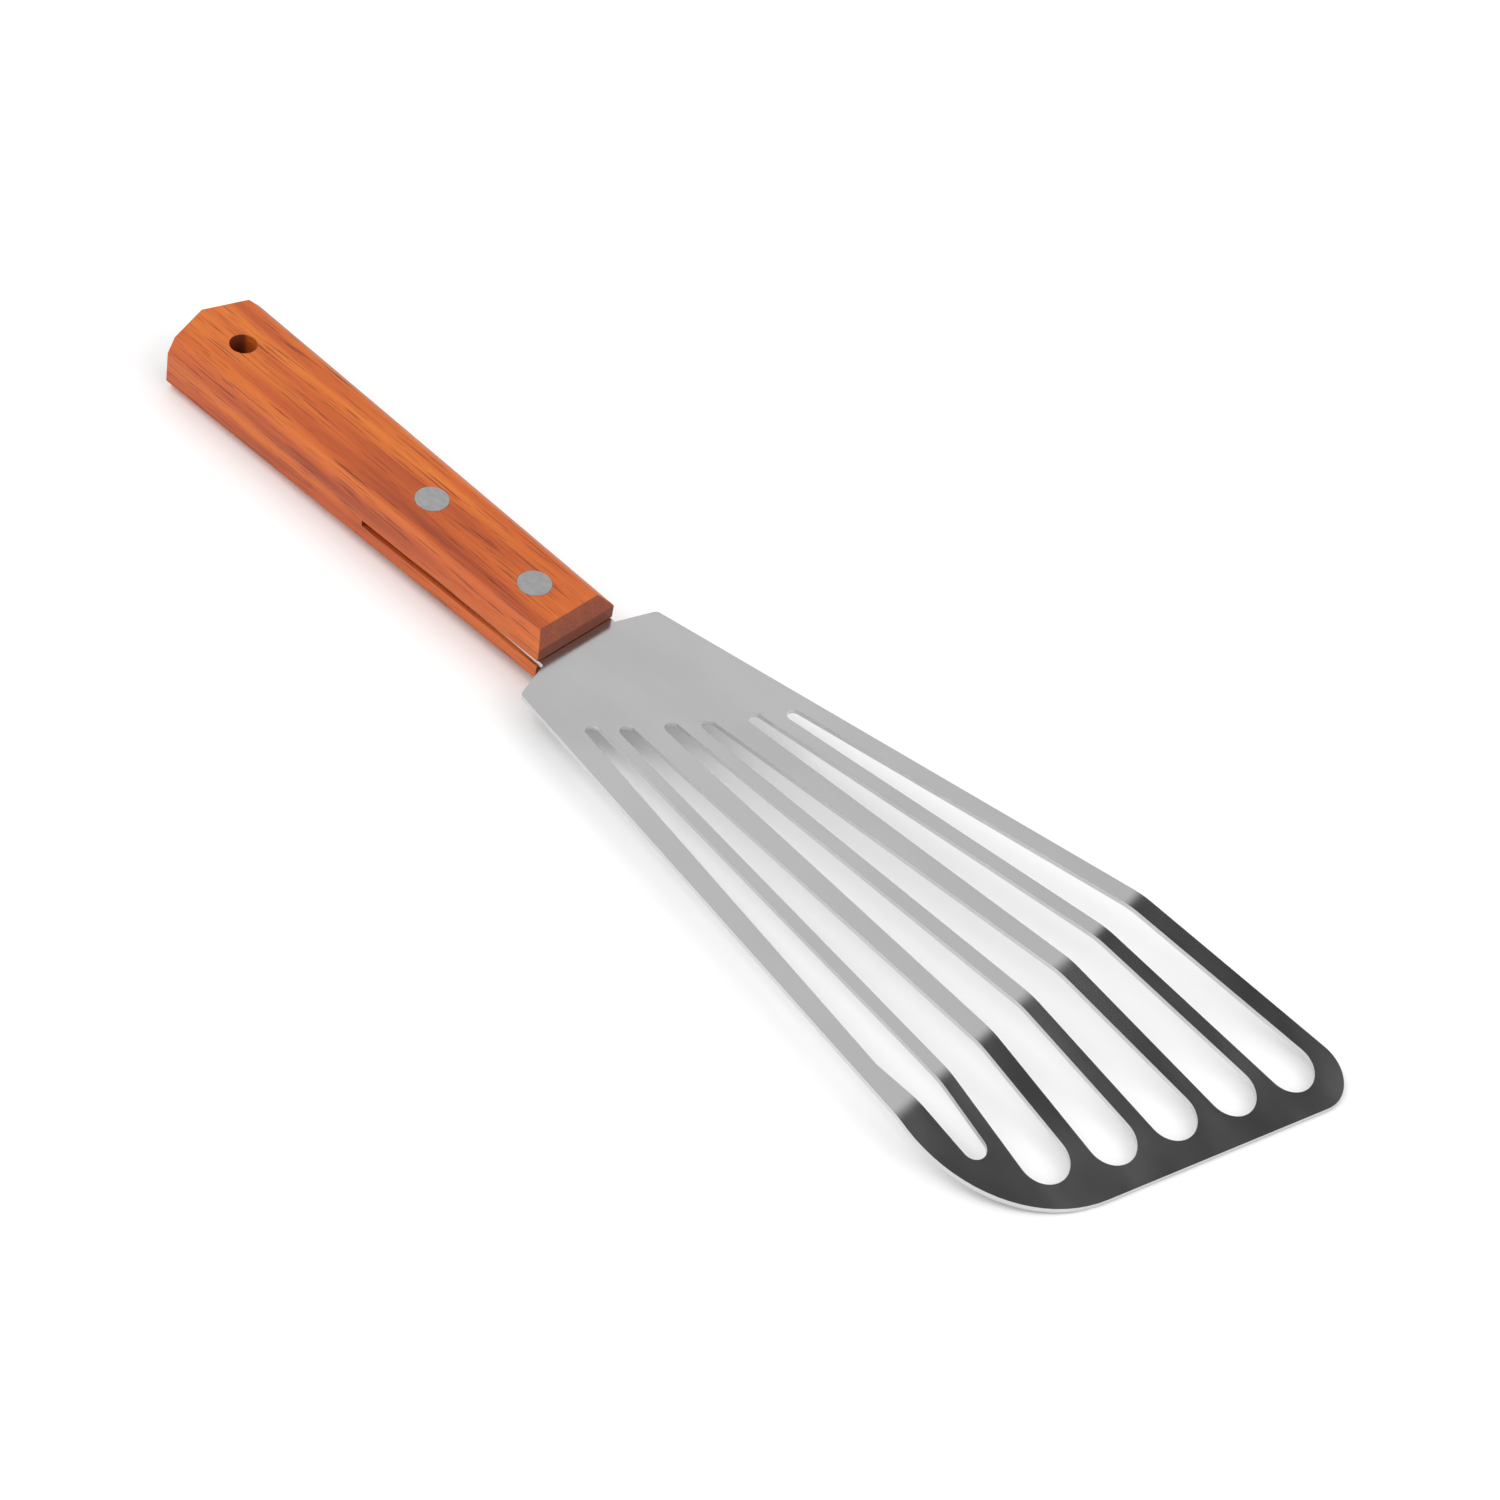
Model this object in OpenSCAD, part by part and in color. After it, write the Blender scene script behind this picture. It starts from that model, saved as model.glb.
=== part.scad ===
// Slotted fish spatula. The source draws it lying at rest: the front edge of the
// blade and one lower corner of the handle butt stand on the plane z = 0.
// Inside the modules x = 0 is the front face of the handle, +X points to the
// front edge of the blade, y = 0 is the handle axis and z = 0 is mid sheet.

/* [Handle] */
// Length from the front face to the point of the butt
handle_length = 128.5; // [110:0.5:150]
// Width across the side faces at the front
handle_front_width = 23.4; // [20:0.2:28]
// Width across the side faces at the butt
handle_butt_width = 28.2; // [22:0.2:34]
// Thickness between the top and bottom faces
handle_thickness = 14.3; // [11:0.1:20]
// Flat cut along each of the four long edges
edge_chamfer = 2.8; // [1:0.1:4.5]
// Flat cut across the top and bottom of the front end
end_chamfer = 3; // [1:0.1:5]
// How far the middle of the butt stands out past its corners
butt_point = 4.7; // [1:0.1:9]

/* [Hanging hole] */
// Diameter of the hole in the butt
hang_hole_d = 6.6; // [4:0.1:9]
// From the point of the butt to the middle of the hole
hang_hole_inset = 15; // [10:0.5:24]

/* [Rivets] */
// Diameter of both rivet heads
rivet_head_d = 8; // [6:0.1:10]
// Thickness of a rivet head
rivet_head_height = 1.8; // [1:0.1:2.6]
// Outer diameter of the rivet sleeve
rivet_sleeve_d = 4.8; // [3.6:0.1:5.6]
// Diameter of the rivet post inside the sleeve
rivet_post_d = 3.2; // [2:0.1:3.4]
// From the front face to the front rivet
front_rivet_inset = 14.2; // [10:0.2:20]
// Between the middles of the two rivets
rivet_pitch = 34; // [24:0.5:44]

/* [Blade] */
// Thickness of the sheet
sheet_thickness = 1.2; // [0.8:0.1:2]
// Width of the tang in the kerf
tang_width = 22.4; // [16:0.2:26]
// Length of the tang behind the front face
tang_length = 56; // [44:0.5:70]
// Visible neck between the handle and the shoulders
neck_length = 1.4; // [0.6:0.1:6]
// Width across the two shoulder corners
shoulder_width = 42.6; // [34:0.2:50]
// How far the shoulders lean forward from neck to corner
shoulder_lean = 3.4; // [1:0.1:8]
// Rounding of the shoulder corners
shoulder_radius = 1.5; // [0.5:0.1:3]
// Angle of the left edge away from the axis
left_flare = 8.7; // [4:0.1:12]
// Angle of the right edge away from the axis
right_flare = 10.7; // [4:0.1:13]
// From the front face to the front edge, on the axis
blade_length = 180.6; // [165:0.5:200]
// Slant of the front edge
front_slant = 12.5; // [4:0.5:18]
// Radius of the broad front corner
broad_corner_radius = 33.5; // [20:0.5:40]
// Radius of the tight front corner
tight_corner_radius = 9; // [5:0.5:16]

/* [Bend] */
// From the front face to the start of the bend, on the axis
bend_start = 133; // [120:0.5:142]
// Angle by which the front of the blade turns down
bend_angle = 14.5; // [6:0.5:24]
// Radius of the bend at mid sheet
bend_radius = 18; // [8:1:40]
// Skew of the bend line
bend_skew = 5; // [0:0.5:8]

/* [Slots] */
// Radius of the narrow rear end of each slot
slot_rear_radius = 1.75; // [1.2:0.05:2.4]
// Radius of the wide front end of each inner slot
slot_front_radius = 6; // [4:0.1:6.4]
// Radius of the front end of the short outer slot
outer_slot_front_radius = 2.9; // [2:0.1:4]
// Half width of the short outer slot at the bend
outer_slot_belly = 4.4; // [3:0.1:4.8]
// From the front face to the rear end of the first slot
slot_rear_start = 21; // [16:0.5:40]
// Angle between the pairs of slots
pair_angle = 7; // [5:0.1:7.4]
// Rim between the front edge and the ends of the slots
front_rim = 5.4; // [4:0.1:9]

/* [Fits] */
// Gap between the sheet and each wall of the kerf
kerf_clearance = 0.25; // [0.1:0.05:0.3]
// Gap between the end of the tang and the end of the kerf
kerf_end_clearance = 1; // [0.3:0.1:3]
// Gap round the rivet sleeve in the tang
tang_hole_clearance = 0.1; // [0.05:0.05:0.3]
// Gap between the rivet post and the floor of its sleeve
post_end_clearance = 0.3; // [0.1:0.1:0.6]

/* [Hidden] */
$fn = 96;
far = 400;
spill = 5;
bend_steps = 8;
arc_steps = 20;
half_sheet = sheet_thickness / 2;
half_thick = handle_thickness / 2;
half_front = handle_front_width / 2;
half_butt = handle_butt_width / 2;
side_length = handle_length - butt_point;
side_taper = atan((half_butt - half_front) / side_length);
front_rivet_x = -front_rivet_inset;
rear_rivet_x = -front_rivet_inset - rivet_pitch;
hang_hole_x = -handle_length + hang_hole_inset;
half_tang = tang_width / 2;
half_shoulder = shoulder_width / 2;
shoulder_x = neck_length + shoulder_lean;

// Lines of the plan outline, as y over x for the edges and x over y for the front
function left_y(x) = -half_shoulder - (x - shoulder_x) * tan(left_flare);
function right_y(x) = half_shoulder + (x - shoulder_x) * tan(right_flare);
function front_x(y) = blade_length + y * tan(front_slant);
function meet(p, d, q, e) = p + d * ((q - p)[0] * e[1] - (q - p)[1] * e[0]) / (d[0] * e[1] - d[1] * e[0]);
left_dir = [cos(left_flare), -sin(left_flare)];
right_dir = [cos(right_flare), sin(right_flare)];
front_dir = [sin(front_slant), cos(front_slant)];
broad_corner = meet([shoulder_x, -half_shoulder], left_dir, [blade_length, 0], front_dir);
tight_corner = meet([shoulder_x, half_shoulder], right_dir, [blade_length, 0], front_dir);

// Middle of a circle of radius r that touches two edges meeting at a corner
function inward(a, b) = (a + b) / norm(a + b);
function half_angle(a, b) = acos(a * b) / 2;
function corner_mid(c, a, b, r) = c + inward(a, b) * r / sin(half_angle(a, b));
function corner_foot(c, a, b, r) = c + a * r / tan(half_angle(a, b));
broad_mid = corner_mid(broad_corner, -left_dir, front_dir, broad_corner_radius);
tight_mid = corner_mid(tight_corner, -right_dir, -front_dir, tight_corner_radius);
shoulder_left = [shoulder_x, -half_shoulder];
shoulder_right = [shoulder_x, half_shoulder];
neck_left = [neck_length, -half_tang];
neck_right = [neck_length, half_tang];
lean_left = (neck_left - shoulder_left) / norm(neck_left - shoulder_left);
lean_right = (neck_right - shoulder_right) / norm(neck_right - shoulder_right);
shoulder_left_mid = corner_mid(shoulder_left, lean_left, left_dir, shoulder_radius);
shoulder_right_mid = corner_mid(shoulder_right, lean_right, right_dir, shoulder_radius);

// Slots: the rear ends lie on one slanted line, the front ends follow the front rim.
// Slots 1 and 2, 3 and 4, 5 and 6 are pairs with a strip of even width between them.
slot_rear = [[22.8, -16.4], [27.5, -10.4], [32.8, -1.7], [37.6, 5.3], [42.3, 15.1], [46.9, 22.9]];
slot_front_y = [-32.6, -21.3, -5.2, 10.9, 27, 43.2];
slot_shift = slot_rear_start - 21;
slot_spread = tan(pair_angle) / tan(7);
function slot_back(i) = [slot_rear[i][0] + slot_shift, slot_rear[i][1] * slot_spread];
function slot_tip_y(i) = slot_front_y[i] * slot_spread;
function arc_x(y) = broad_mid[0] + sqrt(max(0, pow(broad_corner_radius - front_rim - slot_front_radius, 2)
    - pow(y - broad_mid[1], 2)));
function line_x(y) = front_x(y) - (front_rim + slot_front_radius) / cos(front_slant);
function slot_front(i) = [min(line_x(slot_tip_y(i)), slot_tip_y(i) < broad_mid[1] ? arc_x(slot_tip_y(i)) : far),
    slot_tip_y(i)];

// Bent sheet in the section across the bend line
bend_run = bend_radius * sin(bend_angle);
bend_drop = bend_radius * (1 - cos(bend_angle));
function across(p) = (p[0] - bend_start) * cos(bend_skew) + p[1] * sin(bend_skew);
function mid_z(p) = -bend_drop - (across(p) - bend_run) * tan(bend_angle);
sheet_rise = half_sheet / cos(bend_angle);
function bend_point(i, rise) = [(bend_radius + rise) * sin(bend_angle * i / bend_steps),
    (bend_radius + rise) * cos(bend_angle * i / bend_steps) - bend_radius];

// Rest: the plane through the front edge and the lower butt corner becomes z = 0
front_left_foot = corner_foot(broad_corner, front_dir, -left_dir, broad_corner_radius);
front_right_foot = corner_foot(tight_corner, -front_dir, -right_dir, tight_corner_radius);
foot_1 = [front_left_foot[0], front_left_foot[1], mid_z(front_left_foot) - sheet_rise];
foot_2 = [front_right_foot[0], front_right_foot[1], mid_z(front_right_foot) - sheet_rise];
foot_3 = [-side_length, -half_butt + edge_chamfer, -half_thick];
rest_normal = cross(foot_1 - foot_3, foot_2 - foot_3);
up = rest_normal / norm(rest_normal);
ahead_raw = [1, 0, 0] - up[0] * up;
ahead = ahead_raw / norm(ahead_raw);
aside = cross(up, ahead);

// Reach of a rounded front corner along a direction, over both faces of the sheet
slope = [-cos(bend_skew) * tan(bend_angle), -sin(bend_skew) * tan(bend_angle)];
function reach(v, c, r) = v[0] * c[0] + v[1] * c[1] + v[2] * mid_z(c) + abs(v[2]) * sheet_rise
    + r * norm([v[0] + v[2] * slope[0], v[1] + v[2] * slope[1]]);
x_high = reach(ahead, tight_mid, tight_corner_radius);
x_low = -ahead[0] * handle_length - abs(ahead[2]) * half_thick;
y_high = reach(aside, tight_mid, tight_corner_radius);
y_low = -reach(-aside, broad_mid, broad_corner_radius);
z_low = up * foot_3;

module at_rest() {
    multmatrix([
        [ahead[0], ahead[1], ahead[2], -(x_low + x_high) / 2],
        [aside[0], aside[1], aside[2], -(y_low + y_high) / 2],
        [up[0], up[1], up[2], -z_low],
        [0, 0, 0, 1]
    ])
        children();
}

module side_cut(side) {
    // One side of the handle section, run along the tapered side
    translate([0, side * half_front, 0])
        rotate([0, 0, -side * side_taper])
            rotate([90, 0, -90])
                linear_extrude(height = 2 * far, center = true)
                    polygon([
                        [0, half_thick - edge_chamfer],
                        [side * (edge_chamfer + spill), half_thick + spill],
                        [side * far, half_thick + spill],
                        [side * far, -half_thick - spill],
                        [side * (edge_chamfer + spill), -half_thick - spill],
                        [0, -half_thick + edge_chamfer]
                    ]);
}

module handle_blank() {
    intersection() {
        linear_extrude(height = 2 * handle_thickness, center = true)
            polygon([
                [spill, -2 * half_butt],
                [spill, 2 * half_butt],
                [-side_length + butt_point, 2 * half_butt],
                [-handle_length, 0],
                [-side_length + butt_point, -2 * half_butt]
            ]);
        rotate([90, 0, 0])
            linear_extrude(height = 3 * handle_butt_width, center = true)
                polygon([
                    [-end_chamfer, half_thick],
                    [0, half_thick - end_chamfer],
                    [0, -half_thick + end_chamfer],
                    [-end_chamfer, -half_thick],
                    [-far, -half_thick],
                    [-far, half_thick]
                ]);
        side_cut(1);
        side_cut(-1);
    }
}

module rivet_bore(x) {
    translate([x, 0, 0]) {
        cylinder(h = handle_thickness + 2, d = rivet_sleeve_d, center = true);
        translate([0, 0, half_thick - rivet_head_height])
            cylinder(h = rivet_head_height + 1, d = rivet_head_d);
        translate([0, 0, -half_thick - 1])
            cylinder(h = rivet_head_height + 1, d = rivet_head_d);
    }
}

module handle() {
    color("sienna")
        at_rest()
            difference() {
                handle_blank();
                translate([-tang_length - kerf_end_clearance, -far / 2, -half_sheet - kerf_clearance])
                    cube([far, far, sheet_thickness + 2 * kerf_clearance]);
                translate([hang_hole_x, 0, 0])
                    cylinder(h = handle_thickness + 2, d = hang_hole_d, center = true);
                rivet_bore(front_rivet_x);
                rivet_bore(rear_rivet_x);
            }
}

module sheet_section() {
    polygon([
        [-far, half_sheet],
        each [for (i = [0:bend_steps]) bend_point(i, half_sheet)],
        bend_point(bend_steps, half_sheet) + far * [cos(bend_angle), -sin(bend_angle)],
        bend_point(bend_steps, -half_sheet) + far * [cos(bend_angle), -sin(bend_angle)],
        each [for (i = [bend_steps:-1:0]) bend_point(i, -half_sheet)],
        [-far, -half_sheet]
    ]);
}

module bent_sheet() {
    translate([bend_start, 0, 0])
        rotate([90, 0, bend_skew])
            linear_extrude(height = 2 * far, center = true)
                sheet_section();
}

// Points along an arc, and the direction of a line in degrees
function arc(c, r, from, to) = [for (k = [0:arc_steps]) c + r * [cos(from + (to - from) * k / arc_steps),
    sin(from + (to - from) * k / arc_steps)]];
function bearing(a, b) = atan2(b[1] - a[1], b[0] - a[0]);

module blade_outline() {
    polygon(concat(
        [[-tang_length, -half_tang], neck_left],
        arc(shoulder_left_mid, shoulder_radius, bearing(neck_left, shoulder_left) - 90, -left_flare - 90),
        arc(broad_mid, broad_corner_radius, -left_flare - 90, -front_slant),
        arc(tight_mid, tight_corner_radius, -front_slant, right_flare + 90),
        arc(shoulder_right_mid, shoulder_radius, right_flare + 90, bearing(shoulder_right, neck_right) + 270),
        [neck_right, [-tang_length, half_tang]]
    ));
}

// Half of the angle by which the two sides of a tapered slot open
function opening(a, ra, b, rb) = asin((rb - ra) / norm(b - a));

module tapered_slot(a, ra, b, rb) {
    turn = bearing(a, b);
    spread = opening(a, ra, b, rb);
    polygon(concat(
        arc(a, ra, turn + 90 + spread, turn + 270 - spread),
        arc(b, rb, turn - 90 - spread, turn + 90 + spread)
    ));
}

module bellied_slot(a, ra, b, rb, c, rc) {
    turn = bearing(a, b);
    spread = opening(a, ra, b, rb);
    next_turn = bearing(b, c);
    next_spread = opening(b, rb, c, rc);
    polygon(concat(
        arc(a, ra, turn + 90 + spread, turn + 270 - spread),
        arc(b, rb, turn - 90 - spread, next_turn - 90 - next_spread),
        arc(c, rc, next_turn - 90 - next_spread, next_turn + 90 + next_spread),
        arc(b, rb, next_turn + 90 + next_spread, turn + 90 + spread)
    ));
}

module slots() {
    belly = [bend_start - 6, -30.9 * slot_spread];
    tip = [broad_mid[0] + sqrt(pow(broad_corner_radius - front_rim - outer_slot_front_radius, 2)
        - pow(slot_tip_y(0) - broad_mid[1], 2)), slot_tip_y(0)];
    bellied_slot(slot_back(0), slot_rear_radius, belly, outer_slot_belly, tip, outer_slot_front_radius);
    for (i = [1:5])
        tapered_slot(slot_back(i), slot_rear_radius, slot_front(i), slot_front_radius);
}

module blade() {
    color("silver")
        at_rest()
            difference() {
                intersection() {
                    bent_sheet();
                    linear_extrude(height = 2 * far, center = true)
                        difference() {
                            blade_outline();
                            slots();
                        }
                }
                for (x = [front_rivet_x, rear_rivet_x])
                    translate([x, 0, 0])
                        cylinder(h = 4 * sheet_thickness, d = rivet_sleeve_d + 2 * tang_hole_clearance, center = true);
            }
}

// The sleeve has its head in the bottom face, the post has its head in the top face
module rivet_sleeve(x) {
    color("gainsboro")
        at_rest()
            translate([x, 0, -half_thick])
                difference() {
                    union() {
                        cylinder(h = rivet_head_height, d = rivet_head_d);
                        cylinder(h = handle_thickness - rivet_head_height, d = rivet_sleeve_d);
                    }
                    translate([0, 0, rivet_head_height])
                        cylinder(h = handle_thickness, d = rivet_post_d);
                }
}

module rivet_post(x) {
    color("gainsboro")
        at_rest()
            translate([x, 0, half_thick]) {
                translate([0, 0, -rivet_head_height])
                    cylinder(h = rivet_head_height, d = rivet_head_d);
                translate([0, 0, -handle_thickness + rivet_head_height + post_end_clearance])
                    cylinder(h = handle_thickness - 2 * rivet_head_height - post_end_clearance, d = rivet_post_d);
            }
}

module front_rivet_post() {
    rivet_post(front_rivet_x);
}

module front_rivet_sleeve() {
    rivet_sleeve(front_rivet_x);
}

module rear_rivet_post() {
    rivet_post(rear_rivet_x);
}

module rear_rivet_sleeve() {
    rivet_sleeve(rear_rivet_x);
}

blade();
handle();
front_rivet_post();
front_rivet_sleeve();
rear_rivet_post();
rear_rivet_sleeve();
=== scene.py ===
"""Looks of a slotted fish spatula lying on a pale studio floor."""

import logging  # noqa: E402
import math  # noqa: E402
from dataclasses import dataclass, field  # noqa: E402
from enum import Enum  # noqa: E402

import bmesh  # noqa: E402
import bpy  # noqa: E402
from mathutils import Matrix, Vector  # noqa: E402


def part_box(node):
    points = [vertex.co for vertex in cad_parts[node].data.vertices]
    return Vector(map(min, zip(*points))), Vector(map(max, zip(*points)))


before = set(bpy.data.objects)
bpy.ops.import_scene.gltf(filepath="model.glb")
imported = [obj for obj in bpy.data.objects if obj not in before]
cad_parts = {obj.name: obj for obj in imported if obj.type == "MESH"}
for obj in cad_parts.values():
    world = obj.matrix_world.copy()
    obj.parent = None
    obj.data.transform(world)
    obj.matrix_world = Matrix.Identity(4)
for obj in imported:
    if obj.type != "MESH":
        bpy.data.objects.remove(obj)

log = logging.getLogger("spatula")
MM = 0.001
SURFACE_NODE = "Principled BSDF"
GREY_STOPS = (0.3, 0.7)
Triple = tuple[float, float, float]
Span = tuple[float, float]


class Shader(Enum):
    """Shader node types used by the finishes."""

    COORDS = "ShaderNodeTexCoord"
    MAPPING = "ShaderNodeMapping"
    NOISE = "ShaderNodeTexNoise"
    WAVE = "ShaderNodeTexWave"
    RAMP = "ShaderNodeValToRGB"
    BUMP = "ShaderNodeBump"
    MIX = "ShaderNodeMix"
    MATHS = "ShaderNodeMath"
    SPLIT = "ShaderNodeSeparateXYZ"


@dataclass
class Graph:
    """A node tree with short ways to add and join nodes.

    Args:
        tree: The node tree that is filled.
    """

    tree: bpy.types.NodeTree

    def add(self, kind: Shader, **settings: object) -> bpy.types.Node:
        """Adds one node.

        Args:
            kind: The type of node.
            **settings: Attributes set on the node.

        Returns:
            The new node.
        """
        node = self.tree.nodes.new(kind.value)
        for name, value in settings.items():
            setattr(node, name, value)
        return node

    def join(self, source: bpy.types.NodeSocket, target: bpy.types.NodeSocket) -> None:
        """Joins an output to an input."""
        self.tree.links.new(source, target)

    def stretched_noise(self, scale: Triple, detail: float, coords: str = "Object") -> bpy.types.NodeSocket:
        """Adds noise that is scaled differently along each axis.

        Args:
            scale: Scale along X, Y and Z, per metre.
            detail: Detail of the noise.
            coords: Name of the coordinate output.

        Returns:
            The noise's factor output.
        """
        place = self.add(Shader.COORDS)
        mapping = self.add(Shader.MAPPING)
        mapping.inputs["Scale"].default_value = scale
        noise = self.add(Shader.NOISE)
        noise.inputs["Scale"].default_value = 1.0
        noise.inputs["Detail"].default_value = detail
        self.join(place.outputs[coords], mapping.inputs["Vector"])
        self.join(mapping.outputs["Vector"], noise.inputs["Vector"])
        return noise.outputs["Fac"]

    def ramp(self, source: bpy.types.NodeSocket, stops: list[tuple[float, Triple]]) -> bpy.types.NodeSocket:
        """Maps a value to colours.

        Args:
            source: The value.
            stops: Positions and their colours, in order.

        Returns:
            The colour output.
        """
        node = self.add(Shader.RAMP)
        points = node.color_ramp.elements
        while len(points) < len(stops):
            points.new(0.5)
        for point, (position, colour) in zip(points, stops):
            point.position = position
            point.color = (*colour, 1.0)
        self.join(source, node.inputs["Fac"])
        return node.outputs["Color"]

    def grey(self, source: bpy.types.NodeSocket, low: float, high: float) -> bpy.types.NodeSocket:
        """Maps a noise value to greys between low and high."""
        return self.ramp(source, [(GREY_STOPS[0], (low,) * 3), (GREY_STOPS[1], (high,) * 3)])

    def mix(
        self, factor: bpy.types.NodeSocket, a: bpy.types.NodeSocket, b: bpy.types.NodeSocket
    ) -> bpy.types.NodeSocket:
        """Blends two colours.

        Args:
            factor: Share of the second colour.
            a: First colour.
            b: Second colour.

        Returns:
            The blended colour output.
        """
        node = self.add(Shader.MIX, data_type="RGBA")
        self.join(factor, node.inputs[0])
        self.join(a, node.inputs[6])
        self.join(b, node.inputs[7])
        return node.outputs[2]

    def bump(self, source: bpy.types.NodeSocket, distance: float) -> bpy.types.NodeSocket:
        """Turns a height into a bumped normal.

        Args:
            source: The height.
            distance: Height of the relief in metres.

        Returns:
            The normal output.
        """
        node = self.add(Shader.BUMP)
        node.inputs["Strength"].default_value = 1.0
        node.inputs["Distance"].default_value = distance
        self.join(source, node.inputs["Height"])
        return node.outputs["Normal"]


@dataclass(frozen=True)
class Finish:
    """A procedural finish.

    Args:
        name: Name of the material.
    """

    name: str

    def build(self) -> bpy.types.Material:
        """Makes the material.

        Returns:
            The material with its nodes.
        """
        material = bpy.data.materials.new(self.name)
        material.use_nodes = True
        graph = Graph(material.node_tree)
        shader = material.node_tree.nodes[SURFACE_NODE]
        self.fill(graph, shader)
        return material

    def fill(self, graph: Graph, shader: bpy.types.Node) -> None:
        """Sets up the shader; each finish has its own."""
        raise NotImplementedError


@dataclass(frozen=True)
class SheetSteel(Finish):
    """Satin polished sheet with fine lines along the blade."""

    tone: float = 0.66
    tone_spread: Span = (0.94, 1.05)
    roughness: Span = (0.16, 0.27)
    line_scale: Triple = (60.0, 5200.0, 900.0)
    line_detail: float = 4.0
    line_height: float = 0.0000012
    smear_scale: Triple = (30.0, 60.0, 30.0)
    smear_detail: float = 3.0

    def fill(self, graph: Graph, shader: bpy.types.Node) -> None:
        """Sets up the steel; lines run along X."""
        lines = graph.stretched_noise(self.line_scale, self.line_detail)
        smears = graph.stretched_noise(self.smear_scale, self.smear_detail)
        tone = graph.grey(smears, self.tone * self.tone_spread[0], self.tone * self.tone_spread[1])
        graph.join(tone, shader.inputs["Base Color"])
        graph.join(graph.grey(smears, *self.roughness), shader.inputs["Roughness"])
        graph.join(graph.bump(lines, self.line_height), shader.inputs["Normal"])
        shader.inputs["Metallic"].default_value = 1.0


@dataclass(frozen=True)
class TurnedSteel(Finish):
    """Rivet steel with faint rings round the rivet's axis."""

    centre: Triple = (0.0, 0.0, 0.0)
    tone: float = 0.5
    tone_spread: Span = (0.88, 1.1)
    roughness: Span = (0.3, 0.46)
    ring_scale: float = 900.0
    ring_wobble: float = 1.5
    ring_detail: float = 2.0
    ring_height: float = 0.000004
    spot_scale: Triple = (700.0, 700.0, 700.0)
    spot_detail: float = 4.0

    def fill(self, graph: Graph, shader: bpy.types.Node) -> None:
        """Sets up the steel; rings are centred on the rivet."""
        place = graph.add(Shader.COORDS)
        mapping = graph.add(Shader.MAPPING)
        mapping.inputs["Location"].default_value = [-v for v in self.centre]
        rings = graph.add(Shader.WAVE, wave_type="RINGS", rings_direction="Z")
        rings.inputs["Scale"].default_value = self.ring_scale
        rings.inputs["Distortion"].default_value = self.ring_wobble
        rings.inputs["Detail"].default_value = self.ring_detail
        graph.join(place.outputs["Object"], mapping.inputs["Vector"])
        graph.join(mapping.outputs["Vector"], rings.inputs["Vector"])
        spots = graph.stretched_noise(self.spot_scale, self.spot_detail)
        tone = graph.grey(spots, self.tone * self.tone_spread[0], self.tone * self.tone_spread[1])
        graph.join(tone, shader.inputs["Base Color"])
        graph.join(graph.grey(spots, *self.roughness), shader.inputs["Roughness"])
        graph.join(graph.bump(rings.outputs["Fac"], self.ring_height), shader.inputs["Normal"])
        shader.inputs["Metallic"].default_value = 1.0


@dataclass(frozen=True)
class OiledWood(Finish):
    """Reddish wood with long grain, dark pores and darker ends."""

    light: Triple = (0.64, 0.155, 0.014)
    middle: Triple = (0.5, 0.088, 0.007)
    dark: Triple = (0.3, 0.04, 0.004)
    pore: Triple = (0.14, 0.018, 0.003)
    end_tone: Triple = (0.13, 0.03, 0.013)
    figure_scale: Triple = (9.0, 190.0, 190.0)
    figure_detail: float = 5.0
    figure_stops: Triple = (0.3, 0.46, 0.66)
    pore_scale: Triple = (70.0, 2400.0, 2400.0)
    pore_detail: float = 3.0
    pore_stops: Span = (0.34, 0.43)
    pore_strength: float = 0.75
    pore_height: float = 0.00003
    end_scale: Triple = (300.0, 1500.0, 1500.0)
    end_detail: float = 3.0
    end_stops: Span = (0.45, 0.75)
    end_strength: float = 0.9
    roughness: Span = (0.42, 0.58)

    def fill(self, graph: Graph, shader: bpy.types.Node) -> None:
        """Sets up the wood; the grain runs along X."""
        figure = graph.stretched_noise(self.figure_scale, self.figure_detail)
        tones = (self.dark, self.middle, self.light)
        body = graph.ramp(figure, list(zip(self.figure_stops, tones)))
        pores = graph.stretched_noise(self.pore_scale, self.pore_detail)
        shares = ((self.pore_strength,) * 3, (0.0,) * 3)
        pore_share = graph.ramp(pores, list(zip(self.pore_stops, shares)))
        pore_tone = graph.ramp(pores, [(0.0, self.pore), (1.0, self.pore)])
        grained = graph.mix(pore_share, body, pore_tone)
        end_noise = graph.stretched_noise(self.end_scale, self.end_detail)
        end_tone = graph.ramp(end_noise, list(zip(GREY_STOPS, (self.pore, self.end_tone))))
        graph.join(graph.mix(self.end_share(graph), grained, end_tone), shader.inputs["Base Color"])
        graph.join(graph.grey(figure, *self.roughness), shader.inputs["Roughness"])
        graph.join(graph.bump(pores, self.pore_height), shader.inputs["Normal"])

    def end_share(self, graph: Graph) -> bpy.types.NodeSocket:
        """Finds how far the surface faces along the grain.

        Args:
            graph: The material's nodes.

        Returns:
            The share of end grain, from 0 to the end strength.
        """
        place = graph.add(Shader.COORDS)
        split = graph.add(Shader.SPLIT)
        graph.join(place.outputs["Normal"], split.inputs[0])
        facing = graph.add(Shader.MATHS, operation="ABSOLUTE")
        graph.join(split.outputs["X"], facing.inputs[0])
        shares = ((0.0,) * 3, (self.end_strength,) * 3)
        return graph.ramp(facing.outputs[0], list(zip(self.end_stops, shares)))


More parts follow.
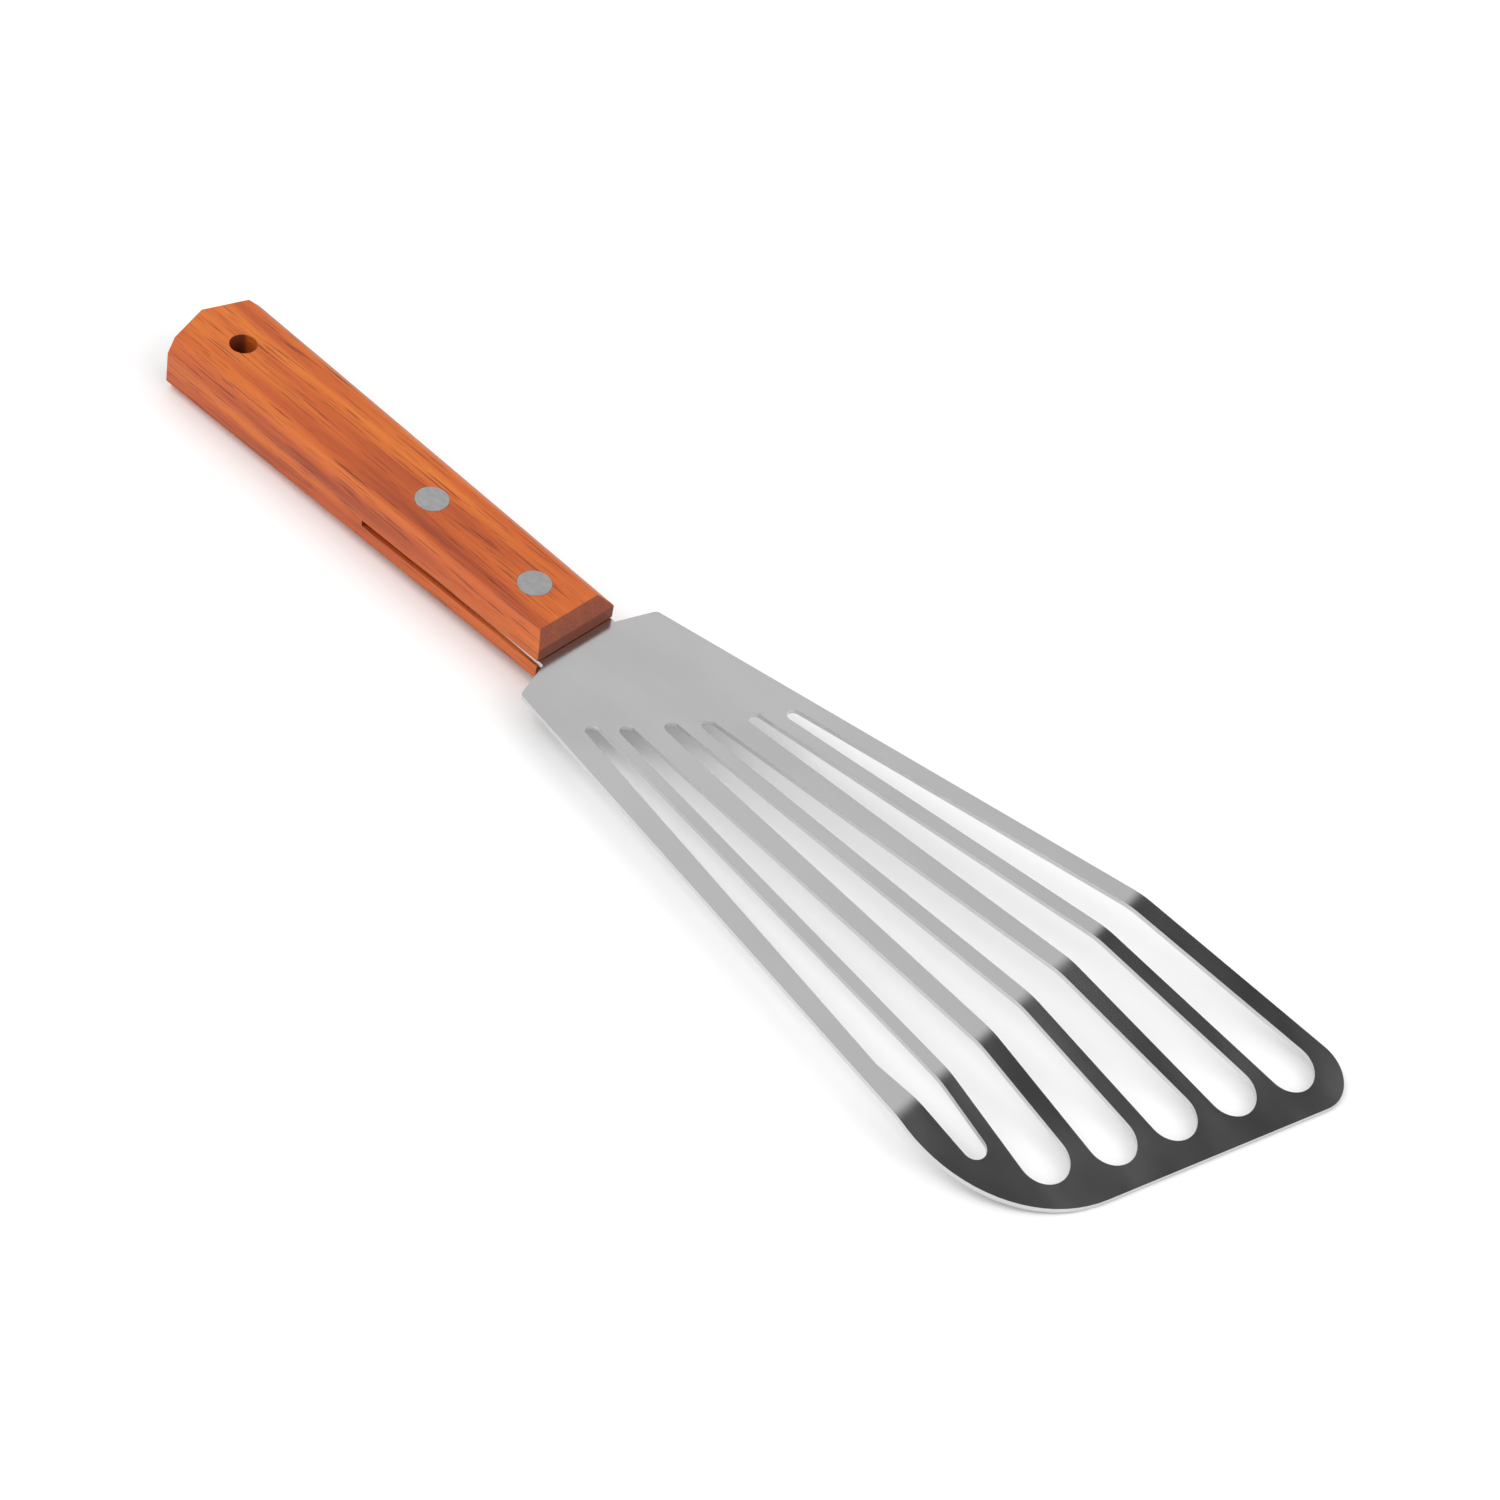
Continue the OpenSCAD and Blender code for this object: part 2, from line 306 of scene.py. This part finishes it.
@dataclass
class DressedPart:
    """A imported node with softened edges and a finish.

    Args:
        node: Name of the node.
        finish: The finish of its whole surface.
        edge: Width of the softened edges in millimetres.
        segments: Steps across a softened edge.
        sharp_angle: Edges that turn by less than this stay as they are.
        weld_distance: Points nearer than this are one point, in millimetres.
        face_weight: How strongly large faces lead the shading, from 1 to 100.
    """

    node: str
    finish: Finish
    edge: float
    segments: int = 3
    sharp_angle: float = math.radians(25.0)
    weld_distance: float = 0.002
    face_weight: int = 100

    def build(self) -> bpy.types.Object:
        """Dresses the node.

        Returns:
            The node's object.
        """
        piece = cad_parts[self.node]
        piece.data.materials.clear()
        piece.data.materials.append(self.finish.build())
        weld = piece.modifiers.new("weld", "WELD")
        weld.merge_threshold = self.weld_distance * MM
        bevel = piece.modifiers.new("soft_edges", "BEVEL")
        bevel.width = self.edge * MM
        bevel.segments = self.segments
        bevel.limit_method = "ANGLE"
        bevel.angle_limit = self.sharp_angle
        piece.data.shade_smooth()
        even = piece.modifiers.new("even_normals", "WEIGHTED_NORMAL")
        even.mode = "FACE_AREA"
        even.weight = self.face_weight
        log.info("dressed %s", self.node)
        return piece


@dataclass
class Blade:
    """The slotted sheet."""

    edge: float = 0.16

    def build(self) -> None:
        """Dresses the sheet."""
        DressedPart("blade", SheetSteel("sheet_steel"), self.edge, segments=2).build()


@dataclass
class Handle:
    """The wooden handle."""

    edge: float = 0.7

    def build(self) -> None:
        """Dresses the handle."""
        DressedPart("handle", OiledWood("oiled_wood"), self.edge, segments=3).build()


@dataclass
class Rivets:
    """The two cutlery rivets, each a post and a sleeve."""

    edge: float = 0.25
    names: list[str] = field(
        default_factory=lambda: [
            "front_rivet_post",
            "front_rivet_sleeve",
            "rear_rivet_post",
            "rear_rivet_sleeve",
        ]
    )

    def build(self) -> None:
        """Dresses the four halves, each with rings round its own axis."""
        for name in self.names:
            low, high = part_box(name)
            centre = tuple((low + high) / 2)
            DressedPart(name, TurnedSteel(f"steel_{name}", centre=centre), self.edge).build()


@dataclass
class Studio:
    """Floor, world, lights and camera."""

    floor_size: float = 6.0
    floor_tone: float = 0.93
    floor_roughness: float = 0.9
    floor_gloss: float = 0.1
    sky_strength: float = 0.85
    sky_stops: tuple[Span, ...] = ((0.0, 1.0), (0.37, 0.82), (0.44, 0.08), (0.62, 0.07), (0.8, 0.9))
    light_gloss: float = 0.15
    key: tuple[Triple, float, float] = ((-0.5, -1.1, 1.5), 1.2, 14.0)
    fill: tuple[Triple, float, float] = ((1.4, 0.3, 1.2), 1.4, 7.0)
    camera_at: Triple = (0.3630359, -0.5436250, 0.6088352)
    right: Triple = (0.7046117, 0.6779306, 0.2096007)
    up: Triple = (-0.5904412, 0.3963022, 0.7030816)
    back: Triple = (0.3935734, -0.6191564, 0.6795173)
    lens: float = 96.0
    sensor: float = 36.0

    def build(self) -> None:
        """Builds the studio."""
        self.floor()
        self.world()
        self.light("key", *self.key)
        self.light("fill", *self.fill)
        self.camera()

    def floor(self) -> None:
        """Builds the pale floor."""
        mesh = bpy.data.meshes.new("floor")
        shape = bmesh.new()
        bmesh.ops.create_grid(shape, x_segments=1, y_segments=1, size=self.floor_size / 2)
        shape.to_mesh(mesh)
        shape.free()
        floor = bpy.data.objects.new("floor", mesh)
        bpy.context.scene.collection.objects.link(floor)
        material = bpy.data.materials.new("floor_paint")
        material.use_nodes = True
        shader = material.node_tree.nodes[SURFACE_NODE]
        shader.inputs["Base Color"].default_value = (self.floor_tone,) * 3 + (1.0,)
        shader.inputs["Roughness"].default_value = self.floor_roughness
        shader.inputs["Specular IOR Level"].default_value = self.floor_gloss
        mesh.materials.append(material)

    def world(self) -> None:
        """Lights from all round; gloss sees a bright side and a dark side."""
        world = bpy.data.worlds.new("studio")
        world.use_nodes = True
        bpy.context.scene.world = world
        graph = Graph(world.node_tree)
        background = world.node_tree.nodes["Background"]
        place = graph.add(Shader.COORDS)
        split = graph.add(Shader.SPLIT)
        graph.join(place.outputs["Generated"], split.inputs[0])
        shifted = graph.add(Shader.MATHS, operation="MULTIPLY_ADD")
        shifted.inputs[1].default_value = 0.5
        shifted.inputs[2].default_value = 0.5
        graph.join(split.outputs["X"], shifted.inputs[0])
        seen = graph.ramp(shifted.outputs[0], [(at, (tone,) * 3) for at, tone in self.sky_stops])
        plain = graph.ramp(shifted.outputs[0], [(0.0, (1.0,) * 3), (1.0, (1.0,) * 3)])
        rays = world.node_tree.nodes.new("ShaderNodeLightPath")
        graph.join(graph.mix(rays.outputs["Is Glossy Ray"], plain, seen), background.inputs["Color"])
        background.inputs["Strength"].default_value = self.sky_strength

    def light(self, name: str, at: Triple, size: float, power: float) -> None:
        """Adds one soft light aimed at the tool.

        Args:
            name: Name of the light.
            at: Its place in metres.
            size: Side of its square face in metres.
            power: Its power in watts.
        """
        data = bpy.data.lights.new(name, "AREA")
        data.size = size
        data.energy = power
        data.specular_factor = self.light_gloss
        lamp = bpy.data.objects.new(name, data)
        lamp.location = at
        lamp.rotation_euler = (-Vector(at)).to_track_quat("-Z", "Y").to_euler()
        lamp.visible_camera = False
        bpy.context.scene.collection.objects.link(lamp)

    def camera(self) -> None:
        """Adds the camera of the photograph."""
        data = bpy.data.cameras.new("camera")
        data.lens = self.lens
        data.sensor_width = self.sensor
        camera = bpy.data.objects.new("camera", data)
        axes = Matrix((self.right, self.up, self.back)).transposed().to_4x4()
        camera.matrix_world = Matrix.Translation(self.camera_at) @ axes
        bpy.context.scene.collection.objects.link(camera)
        bpy.context.scene.camera = camera


def write_size() -> None:
    """Updates the view layer.
    """
    bpy.context.view_layer.update()


def main() -> None:
    """Builds the studio and the tool."""
    logging.basicConfig(level=logging.INFO)
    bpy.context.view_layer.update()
    bpy.context.scene.view_settings.view_transform = "Standard"
    for part in (Blade(), Handle(), Rivets(), Studio()):
        part.build()
        log.info("built %s", type(part).__name__)
    write_size()


if __name__ == "__main__":
    main()
